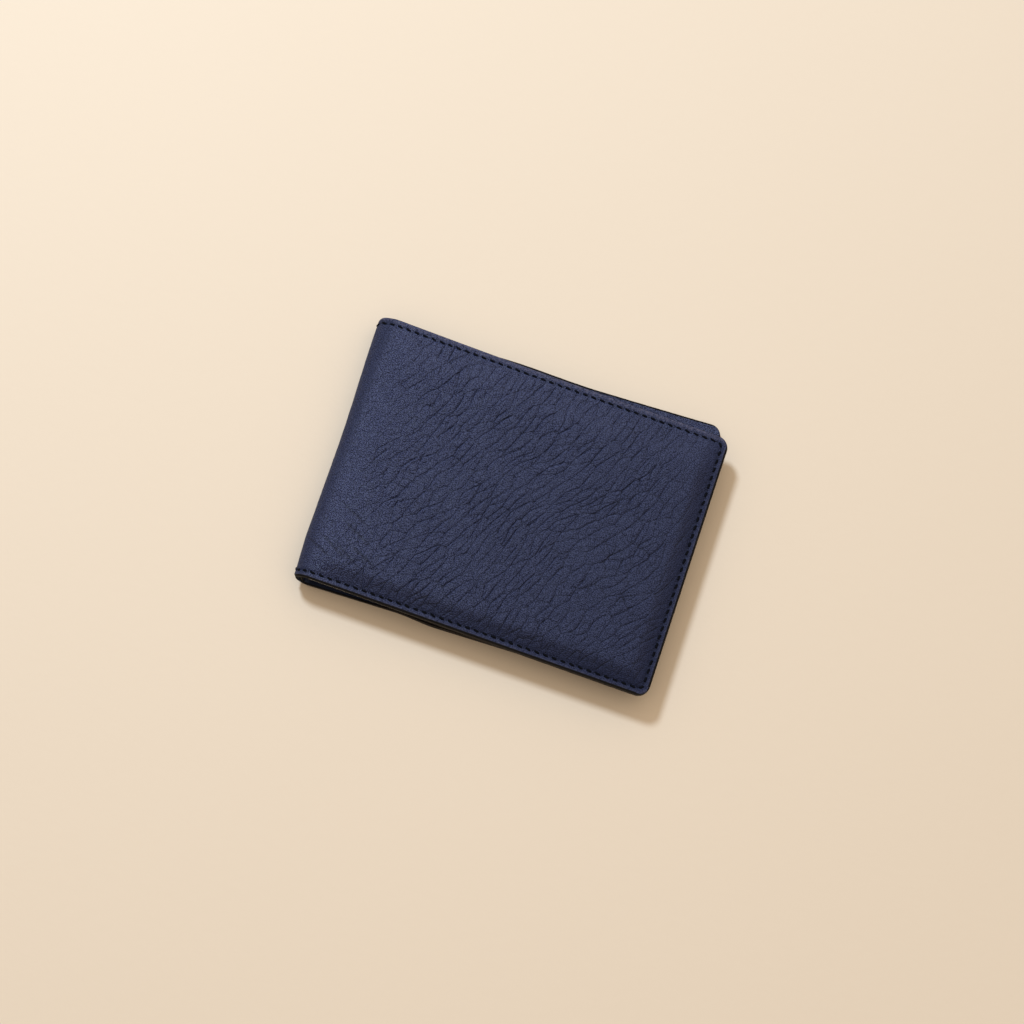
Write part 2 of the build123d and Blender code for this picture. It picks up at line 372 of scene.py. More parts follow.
def pleats(along, up):
    """Straight creases across the grain at the fold's lower end, from 0 to 1."""
    across = along * sin(PLEAT_TURN) + up * cos(PLEAT_TURN)
    lengthwise = along * cos(PLEAT_TURN) - up * sin(PLEAT_TURN)
    lines = np.zeros(along.shape)
    for k, line in enumerate(PLEAT_LINES):
        wander = 0.5 * (value_noise(lengthwise, along * 0 + k, 5, 50 + k) - 0.5)
        reach = np.exp(-(((lengthwise - PLEAT_MIDDLES[k]) / PLEAT_REACH) ** 4))
        lines = np.maximum(lines, reach * bell(across - line - wander, PLEAT_WIDTH))
    return lines


def creases(seed, along, up):
    """Depth in millimetres of the creases between the grain's swollen cells, and their strength."""
    lengthwise, across = flow_map(seed, along, up)
    major, major_long = long_lines(lengthwise / MAJOR_LONG, across, MAJOR_CELL)
    minor, minor_long = long_lines(lengthwise / MINOR_LONG, across, MINOR_CELL)
    strength = crease_strength(seed, along, up)
    valley = MAJOR_VALLEY * major_long * bell(major, CREASE_WIDTH)
    valley = valley + MINOR_VALLEY * minor_long * bell(minor, CREASE_WIDTH)
    swell = MAJOR_SWELL * (1 - np.exp(-major / 0.8)) + MINOR_SWELL * (1 - np.exp(-minor / 0.5))
    pebble = (value_noise(along, up, PEBBLE_SIZE, seed + 9) - 0.5) * PEBBLE_DEPTH
    return (valley - swell + MAJOR_SWELL) * strength + pebble, strength


def cover_form(leaf, along, up):
    """Depth of the outer face without its grain, groove and rounded edge."""
    inside = edge_distance(leaf, along, up)
    rim = RIM_DROP * (1 - smooth((inside - SEAM_MARGIN + 0.3) / RIM_SLOPE))
    rim = rim + SEAM_STEP * (1 - smooth((inside - SEAM_MARGIN + 0.2) / SEAM_STEP_SLOPE))
    rim = rim * smooth(1 - along / SPINE_MIDDLE)
    if leaf.side < 0:
        return rim
    middle = arch((along + 6) / (leaf.length + 6)) * arch(up / LEAF_HEIGHT)
    low_inside = np.minimum(leaf.length - along, up) - SEAM_MARGIN
    plump = smooth(low_inside / PLUMP_SLOPE) * smooth((LEAF_HEIGHT - up - 1) / PLUMP_SLOPE_TOP)
    return rim - FRONT_PLUMP * plump * smooth((along + 3) / 10) - FRONT_CROWN * middle


def groove(inside):
    """Depth of the channel that the seam's stitches are pressed into."""
    return GROOVE_DEPTH * bell(inside - SEAM_MARGIN, GROOVE_HALF)


def seam_holes(leaf, along, up):
    """Depth of the holes that the seam's thread goes into, at both ends of each stitch."""
    line, length = seam_line(leaf, SPINE_MIDDLE, SEAM_MARGIN)
    count = len(stitch_centres(length))
    pitch = length / count
    near_seam = np.abs(edge_distance(leaf, along, up) - SEAM_MARGIN) < 1.2
    depth = np.zeros(along.shape)
    holes = np.arange(count + 1) * pitch
    spots = line[np.clip((holes / length * (len(line) - 1)).astype(int), 0, len(line) - 1)]
    for spot in spots:
        close = near_seam & (np.abs(along - spot[0]) < 1) & (np.abs(up - spot[1]) < 1)
        away = np.hypot(along[close] - spot[0], up[close] - spot[1])
        depth[close] = np.maximum(depth[close], bell(away, HOLE_R))
    return depth * HOLE_DEPTH


def painted_shade_amount(leaf, along, up, inside):
    """How much painted shade darkens the leather: round the fold, near the free and lower edges, towards
    the free end and towards the bottom.
    """
    spine = smooth((0.6 - along) / 3.6)
    to_edges = np.minimum(leaf.length - along, up)
    edges = (1 - smooth((to_edges - 2) / 7)) * (0.6 + 0.4 * smooth((inside - 1.6) / 1.2))
    outwards = np.clip(along / leaf.length, 0, 1) ** 1.2
    lower = (1 - up / LEAF_HEIGHT) * smooth(along / 35)
    round_rim = np.maximum(2.4 * spine, 1.5 * edges * smooth((along - 4) / 8))
    return round_rim + 1.6 * outwards + 0.6 * lower


def cover_face(leaf, along, up):
    """Depth of the finished outer face, and its marks for the material."""
    inside = edge_distance(leaf, along, up)
    line, strength = creases(leaf.seed, along, up)
    calm_rim = 0.3 + 0.7 * smooth((inside - 1.2) / 3.5)
    holes = seam_holes(leaf, along, up)
    folds = pleats(along, up) if leaf.side > 0 else np.zeros(along.shape)
    depth = cover_form(leaf, along, up) + line * calm_rim + groove(inside) + holes
    depth = depth + PLEAT_DEPTH * folds
    depth = np.maximum(depth, 0 if leaf.side < 0 else -9) + rounding(inside, EDGE_R)
    # Painted highlight: the top rim, which faces the light, is paled by the same mark that pales the edges
    # from rubbing.
    top_rim_highlight = 1 - smooth((LEAF_HEIGHT - up - 1.0) / 0.7)
    marks = {
        "strength": strength * calm_rim,
        # Painted shade: the stitch holes and the pleats are marked for darkening.
        "painted_pit_shade": np.clip(holes / HOLE_DEPTH + 0.9 * folds, 0, 1),
        "wear_and_highlight": smooth(1 - (inside - 0.5) / 0.9) + 1.1 * top_rim_highlight,
        "shade": painted_shade_amount(leaf, along, up, inside),
    }
    return depth, marks


# ---- Meshes ----


def add_object(name, data):
    """New object in the scene."""
    added = bpy.data.objects.new(name, data)
    bpy.context.scene.collection.objects.link(added)
    return added


def coarse(count, step):
    """Numbers of count grid lines, one in every step, and the last."""
    return sorted(set(range(0, count, step)) | {count - 1})


def grid_lines(start, end, pitch, edge_start, extra):
    """Grid lines to an edge of the leather, closer together there, and at the start if it is one."""
    steps = np.array(EDGE_STEPS)
    first = start + (steps if edge_start else np.array([0, 0.05]))
    last = end - steps[::-1]
    count = max(2, round((last[0] - first[-1]) / pitch))
    middle = np.linspace(first[-1], last[0], count + 1)[1:-1]
    lines = np.concatenate([first, middle, last])
    for place_at in extra:
        near = np.abs(lines - place_at) < pitch * 0.9
        near[[0, -1]] = False
        lines = np.sort(np.concatenate([lines[~near], place_at + np.linspace(-0.75, 0.75, 7)]))
    return lines


def round_corner(a, b, radius):
    """Move grid points of a square corner into a round one, by their distances from its edges."""
    x, y = np.clip(1 - a / radius, 0, 1), np.clip(1 - b / radius, 0, 1)
    both = (a < radius) & (b < radius)
    new_a = radius * (1 - x * np.sqrt(1 - y * y / 2))
    new_b = radius * (1 - y * np.sqrt(1 - x * x / 2))
    return np.where(both, new_a, a), np.where(both, new_b, b)


def make_mesh(name, points, faces, uvs, materials, face_materials, marks=None, seed=0):
    """Blender object from points in metres, facing outwards, with its grain map in millimetres."""
    mesh = bpy.data.meshes.new(name)
    mesh.from_pydata(points.tolist(), [], faces)
    bm = bmesh.new()
    bm.from_mesh(mesh)
    inside_out = bm.calc_volume(signed=True) < 0
    bm.free()
    if inside_out:
        mesh.flip_normals()
    for material in materials:
        mesh.materials.append(material)
    mesh.polygons.foreach_set("material_index", np.array(face_materials, dtype=np.int32))
    mesh.polygons.foreach_set("use_smooth", np.ones(len(mesh.polygons), dtype=bool))
    corners = np.zeros(len(mesh.loops), dtype=np.int32)
    mesh.loops.foreach_get("vertex_index", corners)
    flow = np.stack(flow_map(seed, uvs[:, 0], uvs[:, 1]), axis=-1)
    for map_name, values in (("grain", uvs), ("flow", flow)):
        layer = mesh.uv_layers.new(name=map_name)
        layer.data.foreach_set("uv", values[corners].astype(np.float32).ravel())
    for mark, values in (marks or {}).items():
        attribute = mesh.attributes.new(mark, "FLOAT", "POINT")
        attribute.data.foreach_set("value", values.astype(np.float32))
    mesh.set_sharp_from_angle(angle=radians(50))
    mesh.validate()
    return add_object(name, mesh)


def ring_indices(nu, nv):
    """Grid indices round the border of a grid of nu by nv points, in order."""
    bottom = [(i, 0) for i in range(nu)]
    right = [(nu - 1, j) for j in range(1, nv)]
    top = [(i, nv - 1) for i in range(nu - 2, -1, -1)]
    left = [(0, j) for j in range(nv - 2, 0, -1)]
    return bottom + right + top + left


def back_faces(nu, nv, step, index_of):
    """Faces of the coarser back, which share the border's fine points."""
    rows, columns = coarse(nu, step), coarse(nv, step)
    faces = []
    for i0, i1 in zip(rows, rows[1:]):
        for j0, j1 in zip(columns, columns[1:]):
            low = [(i, j0) for i in range(i0, i1 if j0 == 0 else i0 + 1)]
            right = [(i1, j) for j in range(j0, j1 if i1 == nu - 1 else j0 + 1)]
            high = [(i, j1) for i in (range(i1, i0, -1) if j1 == nv - 1 else [i1])]
            left = [(i0, j) for j in (range(j1, j0, -1) if i0 == 0 else [j1])]
            faces.append([index_of[key] for key in [*low, *right, *high, *left]][::-1])
    return faces


def make_panel(
    name, leaf, extent, face, back, materials, pitch=INNER_PITCH, open_near=False, back_step=6,
    edge_r=THIN_EDGE_R, edge_done=False, extra_up=(), extra_along=(), paint_width=0.22,
    paint_high=1.0, seed=None, recess=False,
):
    """Closed panel of a leaf. face gives the shown face's depth and marks, back the other's depth.

    edge_done says that face has rounded its own edge. paint_high makes the upper edge's paint that
    many times narrower. recess sets the lower edge back near the fold.
    """
    near, far, low, high = extent
    alongs = grid_lines(near, far, pitch, not open_near, extra_along)
    ups = grid_lines(low, high, pitch, True, extra_up)
    along, up = np.meshgrid(alongs, ups, indexing="ij")
    nu, nv = along.shape
    if far > leaf.length - 1:
        to_free, to_low = round_corner(far - along, up - low, FREE_CORNER_R)
        low_side = up < (low + high) / 2
        round_high = high > LEAF_HEIGHT - 1 or high == DIVIDER_TOP
        to_free_2, to_high = round_corner(far - along, high - up, FREE_CORNER_R)
        use_high = ~low_side & round_high
        along = far - np.where(low_side, to_free, np.where(use_high, to_free_2, far - along))
        up = np.where(low_side, low + to_low, np.where(use_high, high - to_high, up))
    if recess:
        up = up + near_recess(along) * (1 - smooth((up - low) / RECESS_UP))
    depth, marks = face(along, up)
    inward = np.sign(back(along, up).mean() - depth.mean())
    ends = {"low": up - low, "high": high - up, "far": far - along}
    if not open_near:
        ends["near"] = along - near
    inside = np.minimum.reduce(list(ends.values()))
    if not edge_done:
        depth = depth + inward * rounding(inside, edge_r)
    ring = ring_indices(nu, nv)
    ring_i, ring_j = np.array(ring).T
    ring_along, ring_up = along[ring_i, ring_j], up[ring_i, ring_j]
    ring_front, ring_back = depth[ring_i, ring_j], back(ring_along, ring_up)
    step_along = np.roll(ring_along, -1) - np.roll(ring_along, 1)
    step_up = np.roll(ring_up, -1) - np.roll(ring_up, 1)
    step = np.maximum(np.hypot(step_along, step_up), 1e-9)
    out_along, out_up = step_up / step, -step_along / step
    if open_near:
        at_spine = ring_i == 0
        out_along, out_up = np.where(at_spine, 0, out_along), np.where(at_spine, 0, out_up)
    places = [np.stack([along.ravel(), up.ravel(), depth.ravel()], axis=-1)]
    maps = [np.stack([along.ravel(), up.ravel()], axis=-1)]
    side_shares = [0.33, 0.67, 1.0]
    for share in side_shares:
        bulge = 0.07 * sin(pi * share) * min(1, edge_r / EDGE_R + 0.3)
        here = ring_front + (ring_back - ring_front) * share
        places.append(np.stack([ring_along + out_along * bulge, ring_up + out_up * bulge, here], axis=-1))
        drop = np.abs(here - ring_front)
        maps.append(np.stack([ring_along + out_along * drop, ring_up + out_up * drop], axis=-1))
    border_start = nu * nv + (len(side_shares) - 1) * len(ring)
    index_of = {key: border_start + k for k, key in enumerate(ring)}
    inner = [(i, j) for i in coarse(nu, back_step)[1:-1] for j in coarse(nv, back_step)[1:-1]]
    next_index = border_start + len(ring)
    for k, key in enumerate(inner):
        index_of[key] = next_index + k
    if inner:
        in_i, in_j = np.array(inner).T
        in_along, in_up = along[in_i, in_j], up[in_i, in_j]
        places.append(np.stack([in_along, in_up, back(in_along, in_up)], axis=-1))
        maps.append(np.stack([in_along, in_up], axis=-1))
    numbers = np.arange(nu * nv).reshape(nu, nv)
    quads = np.stack([numbers[:-1, :-1], numbers[1:, :-1], numbers[1:, 1:], numbers[:-1, 1:]], axis=-1)
    faces = quads.reshape(-1, 4).tolist()
    ends["high"] = ends["high"] * paint_high
    painted = np.minimum.reduce(list(ends.values()))
    cell_inside = (painted[:-1, :-1] + painted[1:, 1:]) / 2
    face_materials = np.where(cell_inside.ravel() < paint_width, 1, 0).tolist()
    rings = [[int(numbers[key]) for key in ring]]
    for k in range(len(side_shares)):
        start = nu * nv + k * len(ring)
        rings.append(list(range(start, start + len(ring))))
    count = len(ring)
    for upper, lower in zip(rings, rings[1:]):
        for k in range(count):
            following = (k + 1) % count
            faces.append([upper[following], upper[k], lower[k], lower[following]])
            face_materials.append(1)
    hidden = back_faces(nu, nv, back_step, index_of)
    faces.extend(hidden)
    face_materials.extend([0] * len(hidden))
    all_places, all_maps = np.concatenate(places), np.concatenate(maps)
    extra_points = len(all_places) - nu * nv
    marks = {
        mark: np.concatenate([values.ravel(), np.zeros(extra_points)]) for mark, values in marks.items()
    }
    points = place(leaf, *all_places.T)
    seed = leaf.seed if seed is None else seed
    return make_mesh(name, points, faces, all_maps, materials, face_materials, marks, seed)


def make_threads(name, leaf, line, length, surface, height, outward, keep=None):
    """A run of stitches: short twisted threads whose ends go down into the holes."""
    centres = stitch_centres(length)
    half = length / len(centres) / 2 - STITCH_GAP
    ring_count, side_count = 13, 10
    shares = np.linspace(-1, 1, ring_count)
    angles = np.linspace(0, 2 * pi, side_count, endpoint=False)
    rng = np.random.default_rng(len(centres) + leaf.seed)
    points, uvs, faces = [], [], []
    steps = len(line) - 1
    for centre in centres:
        middle = line[int(centre / length * steps)]
        if keep is not None and not keep(*middle):
            continue
        lean = rng.normal(STITCH_LEAN, 0.06)
        at = (centre + shares * half) / length * steps
        spots = np.stack([np.interp(at, np.arange(steps + 1), line[:, k]) for k in (0, 1)], axis=-1)
        normal = line_normals(spots)
        spots = spots + normal * (shares * half * lean)[:, None]
        dive = smooth((np.abs(shares) - 0.62) / 0.38)
        rise = STITCH_RISE - STITCH_DIVE * dive + rng.normal(0, 0.03)
        taper = 1 - 0.35 * smooth((np.abs(shares) - 0.7) / 0.3)
        twist = angles[None, :] * 2 - shares[:, None] * 5.5
        lobe = 1 + 0.13 * np.cos(twist)
        sideways = np.cos(angles)[None, :] * STITCH_WIDTH / 2 * taper[:, None] * lobe
        upwards = np.sin(angles)[None, :] * height / 2 * taper[:, None] * lobe
        along = spots[:, 0, None] + normal[:, 0, None] * sideways
        up = spots[:, 1, None] + normal[:, 1, None] * sideways
        top = surface(spots[:, 0], spots[:, 1])
        depth = top[:, None] + outward * (rise[:, None] + upwards)
        first = len(points) * ring_count * side_count
        points.append(place(leaf, along.ravel(), up.ravel(), depth.ravel()))
        lengthwise, around = np.repeat(shares * half, side_count), np.tile(angles / 6, ring_count)
        uvs.append(np.stack([lengthwise, around], axis=-1))
        for ring in range(ring_count - 1):
            for side in range(side_count):
                a = first + ring * side_count + side
                b = first + ring * side_count + (side + 1) % side_count
                faces.append([a, b, b + side_count, a + side_count])
        faces.append([first + side for side in range(side_count)][::-1])
        last = first + (ring_count - 1) * side_count
        faces.append([last + side for side in range(side_count)])
    all_points, all_uvs = np.concatenate(points), np.concatenate(uvs)
    return make_mesh(name, all_points, faces, all_uvs, [THREAD], [0] * len(faces))


# ---- Materials ----


def add_node(tree, kind, inputs=None, **settings):
    """New shader node with its settings, and its inputs as values or links."""
    node = tree.nodes.new(kind)
    for key, value in settings.items():
        setattr(node, key, value)
    for key, value in (inputs or {}).items():
        if isinstance(value, bpy.types.NodeSocket):
            tree.links.new(value, node.inputs[key])
        else:
            node.inputs[key].default_value = value
    return node


def start_material(name, **constants):
    """Material with one Principled shader, whose constants are set on its own sockets."""
    material = bpy.data.materials.new(name)
    material.use_nodes = True
    tree = material.node_tree
    shader = tree.nodes["Principled BSDF"]
    for key, value in constants.items():
        shader.inputs[key.replace("_", " ")].default_value = value
    return material, tree, shader


def finish_material(tree, shader, colour, rough, height, strength, distance):
    """Link the shader's colour, roughness and relief; distance is the relief's depth in metres."""
    tree.links.new(colour, shader.inputs["Base Color"])
    tree.links.new(rough, shader.inputs["Roughness"])
    inputs = {"Height": height, "Strength": strength, "Distance": distance}
    tree.links.new(add_node(tree, "ShaderNodeBump", inputs).outputs[0], shader.inputs["Normal"])


def multiply(tree, first, second):
    return add_node(tree, "ShaderNodeMath", {0: first, 1: second}, operation="MULTIPLY").outputs[0]


def multiply_add(tree, value, factor, addend):
    inputs = {0: value, 1: factor, 2: addend}
    return add_node(tree, "ShaderNodeMath", inputs, operation="MULTIPLY_ADD").outputs[0]


def mix_colours(tree, share, first, second):
    node = add_node(tree, "ShaderNodeMix", {"Factor": share}, data_type="RGBA", clamp_factor=True)
    for socket, value in ((node.inputs[6], first), (node.inputs[7], second)):
        if isinstance(value, bpy.types.NodeSocket):
            tree.links.new(value, socket)
        else:
            socket.default_value = (*value, 1)
    return node.outputs[2]


def map_range(tree, value, from_low, from_high, to_low, to_high, kind="LINEAR"):
    inputs = {0: value, 1: from_low, 2: from_high, 3: to_low, 4: to_high}
    return add_node(tree, "ShaderNodeMapRange", inputs, interpolation_type=kind).outputs[0]


def grain_vector(tree):
    return add_node(tree, "ShaderNodeUVMap", uv_map="grain").outputs[0]


def mark_value(tree, mark):
    return add_node(tree, "ShaderNodeAttribute", attribute_name=mark).outputs["Fac"]


def noise(tree, vector, scale, detail=2.0, rough=0.5):
    inputs = {"Vector": vector, "Scale": scale, "Detail": detail, "Roughness": rough}
    return add_node(tree, "ShaderNodeTexNoise", inputs).outputs[0]


def voronoi(tree, vector, scale):
    return add_node(tree, "ShaderNodeTexVoronoi", {"Vector": vector, "Scale": scale}).outputs["Distance"]


def voronoi_borders(tree, where, cell):
    """Distance from the borders of the grain's cells, as a share of a cell."""
    inputs = {"Vector": where, "Scale": 1 / cell, "Randomness": CELL_SCATTER}
    kind = {"voronoi_dimensions": "2D", "feature": "DISTANCE_TO_EDGE"}
    return add_node(tree, "ShaderNodeTexVoronoi", inputs, **kind).outputs["Distance"]


def waves(tree, vector, scale, distortion, direction):
    inputs = {"Vector": vector, "Scale": scale, "Distortion": distortion, "Detail": 1.0}
    node = add_node(tree, "ShaderNodeTexWave", inputs, wave_type="BANDS", bands_direction=direction)
    return node.outputs["Fac"]


def border_line(tree, flow, long, cell, width):
    """1 on the grain cells' borders, falling to 0 over width millimetres, and over the shoulder."""
    shares = {0: flow, 1: (1 / long, 1.0, 0.0)}
    vector = add_node(tree, "ShaderNodeVectorMath", shares, operation="MULTIPLY").outputs[0]
    shift = {0: vector, 1: (LINE_SHIFT * cell, 0.0, 0.0)}
    shifted = add_node(tree, "ShaderNodeVectorMath", shift, operation="ADD").outputs[0]
    border, beside = [voronoi_borders(tree, where, cell) for where in (vector, shifted)]
    lengthwise = map_range(tree, beside, CROSS_FROM, CROSS_TO, 1.0, CROSS_SHARE, "SMOOTHSTEP")
    found = []
    for reach in (width, SHOULDER):
        line = map_range(tree, border, 0.0, reach / cell, 1.0, 0.0, "SMOOTHSTEP")
        found.append(multiply(tree, line, lengthwise))
    return found


def leather_material(name, dark, light, pebble_cell, pebble_depth, rough, specular):
    """Pebbled leather: creases, fine pebbles and pores, uneven dye and edges pale from rubbing, with
    painted light: colour speckle on the raised grain that partly stands for glints, painted shade in
    creases, dark pits and where the shade mark is set, and a painted highlight on the cover's top rim.
    """
    constants = {"Specular_IOR_Level": specular, "Specular_Tint": (0.92, 0.96, 1.0, 1.0)}
    material, tree, shader = start_material(name, **constants)
    vector = grain_vector(tree)
    flow = add_node(tree, "ShaderNodeUVMap", uv_map="flow").outputs[0]
    strength, painted_pit_shade, wear_and_highlight, shade = [mark_value(tree, mark) for mark in ("strength", "painted_pit_shade", "wear_and_highlight", "shade")]
    major, major_side = border_line(tree, flow, MAJOR_LONG, MAJOR_CELL, 0.2)
    minor, minor_side = border_line(tree, flow, MINOR_LONG, MINOR_CELL, 0.18)
    sides = multiply(tree, multiply_add(tree, minor_side, 0.4, major_side), strength)
    lines = multiply(tree, multiply_add(tree, minor, 0.55, major), strength)
    pebbles = voronoi(tree, vector, 1 / pebble_cell)
    pores = noise(tree, vector, 1.45 / pebble_cell, 0.0)
    fine = noise(tree, vector, 2.6 / pebble_cell, 1.0)
    dye = noise(tree, vector, 0.055, 3.0, 0.55)
    mottle = noise(tree, vector, 0.9, 3.0, 0.6)
    bumps = multiply_add(tree, pebbles, -0.4, multiply_add(tree, pores, 1.6, 0.0))
    height = multiply_add(tree, bumps, pebble_depth, 0.0)
    height = multiply_add(tree, lines, -CREASE_DEPTH, height)
    height = multiply_add(tree, sides, -SHOULDER_DEPTH, height)
    shades = multiply_add(tree, dye, 0.35, multiply_add(tree, mottle, 0.3, -2.28))
    # Colour speckle on the raised grain, lighter where it stands higher: partly the grain's own tone,
    # partly painted glints.
    shades = multiply_add(tree, bumps, 4.2, shades)
    colour = mix_colours(tree, shades, dark, light)
    # Painted shade: the shade mark darkens the colour towards the dark end.
    colour = mix_colours(tree, multiply_add(tree, shade, 0.22, 0.0), colour, dark)
    # Painted shade: creases, stitch holes, pleats and the inner layers' fold lines are darkened towards a
    # near-black navy.
    painted_shade_colour = tuple(0.15 * c for c in dark)
    sunk = multiply_add(tree, lines, 0.55, multiply_add(tree, painted_pit_shade, 0.6, 0.0))
    colour = mix_colours(tree, sunk, colour, painted_shade_colour)
    # Edges pale from rubbing take a paler, greyer colour; on the cover's top rim the same colour is a
    # painted highlight.
    rubbed_and_highlight = tuple(0.75 * c + grey for c, grey in zip(light, (0.048, 0.036, 0.034)))
    worn_and_lit = multiply(tree, wear_and_highlight, map_range(tree, mottle, 0.4, 0.7, 0.0, 0.5))
    colour = mix_colours(tree, worn_and_lit, colour, rubbed_and_highlight)
    grazed = multiply_add(tree, fine, 0.14, multiply_add(tree, mottle, 0.1, rough - 0.12))
    grazed = multiply_add(tree, shade, 0.14, grazed)
    finish_material(tree, shader, colour, grazed, height, 1.0, MM)
    return material


def paint_material():
    """Edge paint: near black, with a soft gloss and faint unevenness, and a pale painted highlight where
    its mark is set.
    """
    material, tree, shader = start_material("edge_paint", Specular_IOR_Level=0.1)
    uneven = noise(tree, grain_vector(tree), 1.7, 3.0)
    colour = mix_colours(tree, uneven, (0.002, 0.002, 0.002), (0.008, 0.006, 0.006))
    # Painted highlight: pale grey where the edge band's mark is set.
    colour = mix_colours(tree, mark_value(tree, "rubbed_and_highlight"), colour, (0.75, 0.72, 0.70))
    rough = map_range(tree, uneven, 0.3, 0.7, 0.5, 0.65)
    finish_material(tree, shader, colour, rough, uneven, 0.6, 0.06 * MM)
    return material


def thread_material():
    """Waxed polyester thread: near black, with its plies' slanting lines."""
    material, tree, shader = start_material("thread", Specular_IOR_Level=0.05)
    vector = grain_vector(tree)
    plies = waves(tree, vector, 2.2, 0.6, "DIAGONAL")
    fuzz = noise(tree, vector, 9.0)
    shades = multiply_add(tree, fuzz, 0.5, multiply_add(tree, plies, 0.5, 0.0))
    colour = mix_colours(tree, shades, (0.0005, 0.0008, 0.002), (0.004, 0.005, 0.010))
    rough = map_range(tree, fuzz, 0.3, 0.7, 0.5, 0.7)
    finish_material(tree, shader, colour, rough, shades, 0.8, 0.05 * MM)
    return material


def fabric_material():
    """Lining cloth: a fine twill in dark navy."""
    material, tree, shader = start_material("lining_cloth", Specular_IOR_Level=0.25, Sheen_Weight=0.3)
    vector = grain_vector(tree)
    warp = waves(tree, vector, 0.9, 0.25, "DIAGONAL")
    weft = waves(tree, vector, 1.1, 0.3, "Y")
    slubs = noise(tree, vector, 0.8, 3.0)
    weave = multiply_add(tree, warp, 0.65, multiply_add(tree, weft, 0.35, 0.0))
    shades = multiply_add(tree, weave, 0.6, multiply_add(tree, slubs, 0.5, -0.1))
    colour = mix_colours(tree, shades, (0.004, 0.005, 0.010), (0.014, 0.017, 0.032))
    rough = map_range(tree, slubs, 0.3, 0.7, 0.75, 0.92)
    finish_material(tree, shader, colour, rough, weave, 0.8, 0.08 * MM)
    return material


def foam_material():
    """Thin grey foam between the cover and the lining."""
    material, tree, shader = start_material("padding_foam", Specular_IOR_Level=0.2)
    vector = grain_vector(tree)
    tone = noise(tree, vector, 0.4, 3.0)
    colour = mix_colours(tree, tone, (0.16, 0.16, 0.17), (0.30, 0.30, 0.31))
    rough = map_range(tree, tone, 0.3, 0.7, 0.8, 0.95)
    finish_material(tree, shader, colour, rough, voronoi(tree, vector, 1.8), 0.8, 0.2 * MM)
    return material


def floor_material():
    """Pale warm paper-like floor."""
    material, tree, shader = start_material("floor", Specular_IOR_Level=0.15)
    where = add_node(tree, "ShaderNodeTexCoord").outputs["Object"]
    fibre = noise(tree, where, 260.0, 4.0, 0.6)
    cloudy = noise(tree, where, 3.0)
    shades = multiply_add(tree, fibre, 0.3, multiply_add(tree, cloudy, 0.7, 0.0))
    colour = mix_colours(tree, shades, (0.775, 0.66, 0.535), (0.805, 0.69, 0.565))
    rough = map_range(tree, fibre, 0.3, 0.7, 0.75, 0.85)
    finish_material(tree, shader, colour, rough, fibre, 0.15, 0.3 * MM)
    return material


COVER_LEATHER = leather_material(
    "cover_leather", (0.006, 0.009, 0.034), (0.053, 0.066, 0.152), 0.46, 0.2, 0.32, 0.28
)
INNER_LEATHER = leather_material(
    "inner_leather", (0.004, 0.007, 0.024), (0.020, 0.031, 0.080), 0.36, 0.03, 0.42, 0.2
)
EDGE_PAINT = paint_material()
THREAD = thread_material()
LINING_CLOTH = fabric_material()
FOAM = foam_material()
LEATHER_AND_PAINT = [COVER_LEATHER, EDGE_PAINT]
INNER_AND_PAINT = [INNER_LEATHER, EDGE_PAINT]


# ---- How pieces move ----


def bend_with_leaf(piece, leaf):
    """Bake a piece's transform into its mesh, the same for either leaf."""
    if leaf.side < 0:
        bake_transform(piece)
    else:
        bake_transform(piece)


def ride_leaf(piece, leaf):
    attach(piece, f"{leaf.name}_leaf")


# ---- Pieces ----


def flat_marks(along):
    return {mark: np.zeros(along.shape) for mark in ("strength", "painted_pit_shade", "wear_and_highlight", "shade")}


def level(depth):
    """Face of a panel at one depth."""
    return lambda along, up: np.full(along.shape, depth)


def sewn_down(to_seam):
    """1 where an inner layer is sewn to its neighbours, falling to 0 beside the seam."""
    return 1 - smooth((to_seam - CARD_SEAM_WIDTH + 1) / 2)


def make_cover(leaf):
    """Outer leather of a leaf and its half of the spine."""

    def face(along, up):
        return cover_face(leaf, along, up)

    def back(along, up):
        return cover_form(leaf, along, up) + COVER_T

    piece = make_panel(
        f"{leaf.name}_cover_leather", leaf, (SPINE_MIDDLE, leaf.length, 0, LEAF_HEIGHT), face, back,
        LEATHER_AND_PAINT, pitch=COVER_PITCH, open_near=True, edge_r=EDGE_R, edge_done=True,
        paint_width=0.51, paint_high=3.2,
    )
    bend_with_leaf(piece, leaf)
    nodes = [f"{leaf.name}_cover"] + (["spine_cover"] if leaf.side < 0 else [])
    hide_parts(*nodes)


def make_padding(leaf):
    """Foam that fills the cover's plump middle."""

    def face(along, up):
        top = np.minimum(cover_form(leaf, along, up) + COVER_T + 0.03, LINING_DEPTH - 0.12)
        return top + 0.04 * value_noise(along, up, 5, 3), flat_marks(along)

    far = leaf.length - 0.9
    piece = make_panel(
        f"{leaf.name}_padding_foam", leaf, (2.0, far, 0.9, LEAF_HEIGHT - 0.9), face,
        level(LINING_DEPTH - 0.01), [FOAM, FOAM], pitch=2.0, edge_r=0.05, back_step=4,
    )
    ride_leaf(piece, leaf)
    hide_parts(f"{leaf.name}_padding")


